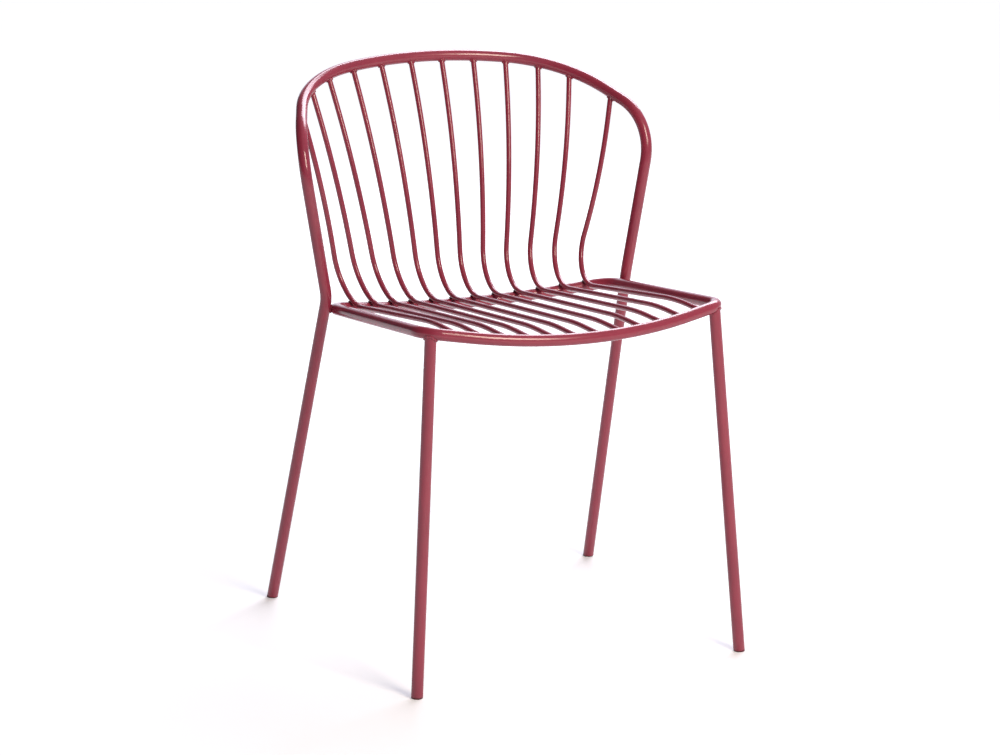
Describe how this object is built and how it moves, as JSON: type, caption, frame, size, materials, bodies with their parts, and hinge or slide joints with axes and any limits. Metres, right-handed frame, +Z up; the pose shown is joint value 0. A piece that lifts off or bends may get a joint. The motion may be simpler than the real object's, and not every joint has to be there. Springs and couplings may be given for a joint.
{
  "type": "bistro chair",
  "caption": "Armless tubular metal chair: open seat and back of round bars that run back and fan up to an arched top rail, on splayed legs.",
  "frame": {"origin": "on the floor under the middle of the chair's bounding box", "axes": "+Z up, the seat's front faces -Y, +X to the sitter's left (the viewer's right from the front)"},
  "size_m": [0.5338, 0.5483, 0.7769],
  "materials": {
    "powder_coat": "satin wine-red powder coat on steel",
    "glide_plastic": "matte dark wine moulded plastic"
  },
  "bodies": {
    "root": {"back_hoop": "powder_coat", "seat_ring": "powder_coat", "front_leg_left": "powder_coat", "front_leg_right": "powder_coat", "rod_01": "powder_coat", "rod_02": "powder_coat", "rod_03": "powder_coat", "rod_04": "powder_coat", "rod_05": "powder_coat", "rod_06": "powder_coat", "rod_07": "powder_coat", "rod_08": "powder_coat", "rod_09": "powder_coat", "rod_10": "powder_coat", "rod_11": "powder_coat", "rod_12": "powder_coat", "leg_welds": "powder_coat", "upright_welds": "powder_coat", "rod_top_welds": "powder_coat", "rod_rear_welds": "powder_coat", "rod_front_welds": "powder_coat", "glide_front_left": "glide_plastic", "glide_front_right": "glide_plastic", "glide_rear_left": "glide_plastic", "glide_rear_right": "glide_plastic"}
  },
  "joints": []
}
